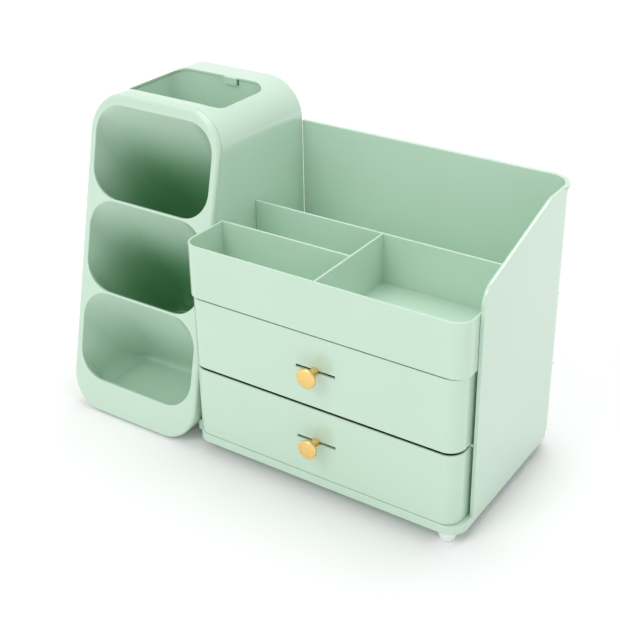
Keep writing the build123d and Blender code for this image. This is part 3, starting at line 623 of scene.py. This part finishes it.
def housing_skin(inset, back_y, back_r):
    """Walls: the outline drawn back from the leaning cut to a rounded back; over the top the quads inside the
    patch are left out and rings from the patch's frame to the opening take their place."""
    xz, start, count = housing_outline(inset)
    front = lean_y(xz[:, 1], face_depth + seam)
    soft = 0.0 if inset else seam_soft
    rows = [front + soft + (patch_y0 - front - soft) * t for t in np.linspace(0, 1, 6)]
    across = np.linspace(patch_y0, patch_y1, 21)
    rows += [np.full(len(xz), y) for y in across[1:]]
    grid = [np.column_stack([xz[:, 0], y, xz[:, 1]]) for y in rows]
    for a in np.radians((30, 60, 90)) if soft else ():
        shrunk = housing_outline(soft * (1 - math.cos(a)))[0]
        grid.insert(0, np.column_stack([shrunk[:, 0], front + soft * (1 - math.sin(a)), shrunk[:, 1]]))
    for a in np.radians(np.linspace(0, 90, back_rows)):
        shrink = back_r * (1 - math.cos(a))
        moved = housing_outline(inset + shrink)[0] if shrink else xz
        grid.append(np.column_stack([moved[:, 0], np.full(len(xz), back_y - back_r + back_r * math.sin(a)),
                                     moved[:, 1]]))
    grid = np.array(grid)
    skip = np.zeros((len(grid) - 1, len(xz)), bool)
    lead = len(grid) - back_rows - len(across)
    skip[lead:lead + len(across) - 1, start:start + count - 1] = True
    walls = skin(grid, first=False, skip=skip)
    xs = xz[start:start + count, 0]
    frame_xy = np.vstack([np.column_stack([xs, np.full(count, patch_y0)])[:-1],
                          np.column_stack([np.full(len(across), xs[-1]), across])[:-1],
                          np.column_stack([xs[::-1], np.full(count, patch_y1)])[:-1],
                          np.column_stack([np.full(len(across), xs[0]), across[::-1]])[:-1]])
    rings = []
    for t in np.linspace(0, 1, 4):
        xy = frame_xy + (opening_edge(frame_xy, 0.5) - frame_xy) * t
        rings.append(np.column_stack([xy, top_z(xy[:, 0], inset)]))
    return walls, np.array(rings), grid[0]


outer_walls, outer_rings, outer_front = housing_skin(0.0, case_back, holder_back_r)
inner_walls, inner_rings, inner_front = housing_skin(holder_wall, case_back - holder_wall, inner_back_r)
edge_rings = []
# the opening's softened edge, row by row: how far outside the opening, and how far below the top
for grow, drop in ((0.35, 0.02), (0.15, 0.1), (0.03, 0.28), (0.0, 0.5), (0.0, 1.6)):
    xy = opening_edge(outer_rings[0][:, :2], grow)
    edge_rings.append(np.column_stack([xy, top_z(xy[:, 0], 0.0) - drop]))
hole_rings = np.vstack([outer_rings, np.array(edge_rings), inner_rings[::-1]])
housing = [outer_walls, inner_walls, skin(hole_rings, first=False, last=False),
           skin(np.array([outer_front, inner_front]), first=False, last=False),
           bar(holder_mid + tab_x0, holder_mid + tab_x1, tab_y0, tab_y1, tab_z0, tab_z1)]
for ledge_top in (deck_low, tray_low):
    for y0, y1 in ledge_runs:
        housing.append(bar(ledge_x0, ledge_x1, y0, y1, ledge_top - rail_t, ledge_top))
build("holder_housing", housing, mint_abs, "cabinet", "mint_plastic", "brush_shell")


# ---- Brush holder's front and pockets ----------------------------------------------------------
# The leaning front and its three oblique pockets are one moulding, made in a tool whose cores slide
# out along the pockets.  Thin lips between the pockets catch the light; each floor is level.

pocket_w, pocket_h, pocket_web, first_s, pocket_r = 110.8, 71.6, 2.0, 27.0, 23.0
dive = math.radians(57.0)
pocket_floors = (6.0, 30.0, 95.0)
face_soft, lip_soft, floor_soft = 2.6, 0.8, 7.0
face_t, pocket_wall, pocket_floor_t = 2.2, 0.95, 1.6
spigot_out, spigot_in, spigot_y0, spigot_y1 = 2.15, 3.75, 1.9, 9.5


def front_ring(inset, back):
    """Front outline moved inwards and set back from the leaning face."""
    points, out = round_plan(-holder_w, 0, holder_low, holder_high, (low_r, low_r, high_r, high_r), n=18)
    xz = points - inset * out
    return np.column_stack([xz[:, 0], lean_y(xz[:, 1], back), xz[:, 1]])


def mouth(index, grow, back):
    """Rounded opening in the leaning face, s up the slope: z = foot + s cos 13.5 degrees."""
    s0 = first_s + index * (pocket_h + pocket_web)
    points, out = round_plan(holder_mid - pocket_w / 2 - grow, holder_mid + pocket_w / 2 + grow, s0 - grow,
                             s0 + pocket_h + grow, (pocket_r + grow,) * 4, n=16)
    z = holder_low + points[:, 1] * math.cos(lean)
    return np.column_stack([points[:, 0], lean_y(z, back), z]), out


def kept_inside(p, inset):
    """Points past the housing's rounded lower corners come back to an arc of its radius less the inset."""
    half, r = holder_w / 2 - low_r, low_r - inset
    x, z = p[..., 0] - holder_mid, p[..., 2] - holder_low - low_r
    past = np.abs(x) - half
    far = np.hypot(past, z)
    k = np.where((past > 0) & (z < 0) & (far > r), r / far, 1.0)
    moved = holder_mid + np.sign(x) * (half + past * k)
    return np.stack([np.where(k < 1, moved, p[..., 0]), p[..., 1], holder_low + low_r + z * k], -1)


def pocket_skin(index, grow, back, floor, lip):
    """Tube down the dive of 57 degrees: point + t (0, cos, -sin); its rows end on the level floor, where the
    last rows turn in through a hollow radius along the plan normal.  grow makes the tube's outside."""
    down = np.array([0, math.cos(dive), -math.sin(dive)])
    rows = []
    for a in np.radians(np.linspace(0, 90, 6)) if lip else [math.pi / 2]:
        ring, out = mouth(index, grow + lip * (1 - math.sin(a)), back)
        rows.append(ring + down * lip * (1 - math.cos(a)))
    ring, out = mouth(index, grow, back)
    reach = (ring[:, 2] - floor - floor_soft) / math.sin(dive)
    for t in np.linspace(0.06, 1, 12):
        rows.append(ring + down * (lip + (reach - lip) * t)[:, None])
    plan_out = np.column_stack([out[:, 0], out[:, 1] / (math.sin(lean) + math.cos(lean) / math.tan(dive))])
    plan_out /= np.hypot(*plan_out.T)[:, None]
    for a in np.radians(np.linspace(0, 90, 7))[1:]:
        height = floor + floor_soft * (1 - math.sin(a))
        row = ring + down * ((ring[:, 2] - height) / math.sin(dive))[:, None]
        row[:, :2] -= plan_out * floor_soft * (1 - math.cos(a))
        rows.append(row)
    clear = holder_wall + (0.3 if grow else 1.4)
    return skin(kept_inside(np.array(rows), clear), first=False)


rim_rings = [front_ring(holder_wall, face_t), front_ring(holder_wall, face_depth)]
rim_rings += [front_ring(seam_soft, face_depth)]
rim_rings += [front_ring(seam_soft * (1 - math.cos(a)), face_depth - seam_soft * (1 - math.sin(a)))
              for a in np.radians((60, 30, 0))]
rim_rings += [front_ring(face_soft * (1 - math.cos(a)), face_soft * (1 - math.sin(a)))
              for a in np.radians(np.linspace(0, 90, 9))]
spigot_rings = [front_ring(inset, back) for inset, back in (
    (spigot_out, spigot_y0), (spigot_out, spigot_y1), (spigot_in, spigot_y1), (spigot_in, spigot_y0),
    (spigot_out, spigot_y0))]
face_skins = [skin(np.array(rings), first=False, last=False) for rings in (rim_rings, spigot_rings)]
for index, floor in enumerate(pocket_floors):
    face_skins.append(pocket_skin(index, 0.0, 0.0, floor, lip_soft))
    face_skins.append(pocket_skin(index, pocket_wall, face_t, floor - pocket_floor_t, 0.0))


def on_face(edge, back):
    """Whether both ends of an edge lie within 0.02 mm of the leaning front, set back by a distance."""
    spots = [np.array(v.co) / mm + middle for v in edge.verts]
    return all(abs(p[1] - lean_y(p[2], back)) < 0.02 for p in spots)


face = build("holder_front", face_skins, mint_abs, "cabinet", "mint_plastic", "brush_front_panel",
             fills=(lambda edge: on_face(edge, 0.0), lambda edge: on_face(edge, face_t)))
spots = points_of(face)
# way back to the leaning face along the dive, and how far up the slope that line starts
way = (spots[:, 1] - lean_y(spots[:, 2])) / (math.cos(dive) + math.sin(dive) * math.tan(lean))
start_s = (spots[:, 2] + way * math.sin(dive) - holder_low) / math.cos(lean)
# painted shade: the upper two pockets darken in colour from 8 to 108 mm down, by 3 share^2 - 2 share^3, to at
# most 0.85 of the dark green
share = np.clip((way - 8.0) / 100.0, 0, 1)
painted_pocket_shade = np.where(start_s > first_s + pocket_h + 1, 0.85 * share * share * (3 - 2 * share), 0)
mark_points(face, "painted_pocket_shade", painted_pocket_shade)


# ---- Cup and pads -----------------------------------------------------------------------------
# The cup hangs under the top opening and is seen only down its walls; four thin rubber pads are
# let into the holder's foot.

dress("brush_top_cup", mint_abs)
# Rubber sheet, die-cut: pale grey and quite without shine, with the same kind of fine grain as the plastics.
pad_rubber = moulded_plastic("rubber_pad_die_cut", "#D9DCDA", "#CFD3D1", 0.72, 0.05, 0.05, 0.1)
for row in ("front", "rear"):
    for side in ("left", "right"):
        dress(f"brush_pad_{row}_{side}", pad_rubber)


# ---- Table, light and camera ------------------------------------------------------------------
# A white sweep that keeps the soft contact shadow, large soft lamps, and a camera set where the
# photographer stood: high on the right, looking down at the front corner.

def plain_sweep():
    """White board: matt, and lifted for camera and mirror rays so that it meets the white surroundings; the
    lift grows from 0.02 at the object to 0.75 at 2.5 m, where the lamps no longer reach."""
    material, tree = blank_material("white_board_matt")
    ray = add(tree, "ShaderNodeLightPath")
    seen = add(tree, "ShaderNodeMath", {"operation": "MAXIMUM"}, {},
               {0: ray.outputs["Is Camera Ray"], 1: ray.outputs["Is Glossy Ray"]})
    place = add(tree, "ShaderNodeTexCoord").outputs["Object"]
    away = add(tree, "ShaderNodeVectorMath", {"operation": "LENGTH"}, {}, {0: place}).outputs["Value"]
    growth = add(tree, "ShaderNodeMapRange", {},
                 {"From Min": 0.3, "From Max": 2.5, "To Min": 0.02, "To Max": 0.75}, {"Value": away})
    lift = add(tree, "ShaderNodeMath", {"operation": "MULTIPLY"}, {},
               {0: seen.outputs[0], 1: growth.outputs[0]})
    board = add(tree, "ShaderNodeBsdfDiffuse", {}, {"Color": linear("#FAFAFA")})
    glow = add(tree, "ShaderNodeEmission", {}, {"Color": (1, 1, 1, 1)}, {"Strength": lift.outputs[0]})
    both = add(tree, "ShaderNodeAddShader", {}, {}, {0: board.outputs[0], 1: glow.outputs[0]})
    add(tree, "ShaderNodeOutputMaterial", {}, {}, {"Surface": both.outputs[0]})
    return material


half = 6   # metres from the board's middle to its edges
board_mesh = bpy.data.meshes.new("board")
board_mesh.from_pydata([(-half, -half, 0), (half, -half, 0), (half, half, 0), (-half, half, 0)], [],
                       [(0, 1, 2, 3)])
board_mesh.materials.append(plain_sweep())
board = bpy.data.objects.new("board", board_mesh)
bpy.context.scene.collection.objects.link(board)

world = bpy.data.worlds.new("white_room")
bpy.context.scene.world = world
world.use_nodes = True
sky = world.node_tree
sky.nodes.clear()
sky_ray = add(sky, "ShaderNodeLightPath")
sky_seen = add(sky, "ShaderNodeMath", {"operation": "MAXIMUM"}, {},
               {0: sky_ray.outputs["Is Camera Ray"], 1: sky_ray.outputs["Is Glossy Ray"]})
sky_level = add(sky, "ShaderNodeMapRange", {}, {"To Min": 0.70, "To Max": 1.0},
                {"Value": sky_seen.outputs[0]})
sky_light = add(sky, "ShaderNodeBackground", {}, {"Color": (1, 1, 1, 1)},
                {"Strength": sky_level.outputs["Result"]})
add(sky, "ShaderNodeOutputWorld", {}, {}, {"Surface": sky_light.outputs[0]})


def set_up(thing, side, rise, back, place):
    """Places a lamp or camera whose own x, y and z axes are side, rise and back; it points along -z."""
    thing.matrix_world = Matrix([[side[i], rise[i], back[i], place[i]] for i in range(3)] + [[0, 0, 0, 1]])


def softbox(name, place, aim, size, power):
    """Square lamp at a place, turned so that it shines on the aim point."""
    light = bpy.data.lights.new(name, "AREA")
    light.shape = "SQUARE"
    light.size = size
    light.energy = power
    lamp = bpy.data.objects.new(name, light)
    bpy.context.scene.collection.objects.link(lamp)
    back = np.array(place, float) - np.array(aim, float)
    back /= np.linalg.norm(back)
    side = np.cross([0, 0, 1], back)
    side /= np.linalg.norm(side)
    set_up(lamp, side, np.cross(back, side), back, place)


softbox("overhead", (0.0, 0.8, 2.6), (0, 0.02, 0.1), 1.8, 27.5)
softbox("front_high", (-0.6, -2.2, 2.4), (0, 0, 0.1), 1.4, 20.0)
softbox("front_low", (-1.2, -2.8, 0.6), (0, 0, 0.1), 1.4, 4.0)
softbox("right_low", (3.0, -1.2, 0.8), (0, 0, 0.1), 1.4, 4.0)

camera_data = bpy.data.cameras.new("camera")
camera = bpy.data.objects.new("camera", camera_data)
bpy.context.scene.collection.objects.link(camera)
azimuth, height_angle, roll = (math.radians(a) for a in (32.87, 27.20, -0.34))
forward = np.array([-math.sin(azimuth) * math.cos(height_angle), math.cos(azimuth) * math.cos(height_angle),
                    -math.sin(height_angle)])
level_side = np.array([math.cos(azimuth), math.sin(azimuth), 0.0])
upward = np.cross(level_side, forward)
side = level_side * math.cos(roll) + upward * math.sin(roll)
rise = upward * math.cos(roll) - level_side * math.sin(roll)
set_up(camera, side, rise, -forward, (0.4427, -0.6316, 0.5226))
camera_data.lens = 68.0
camera_data.sensor_width = 36.0
camera_data.shift_x = -0.05
camera_data.shift_y = -0.05
bpy.context.scene.camera = camera
bpy.context.scene.view_settings.view_transform = "Standard"
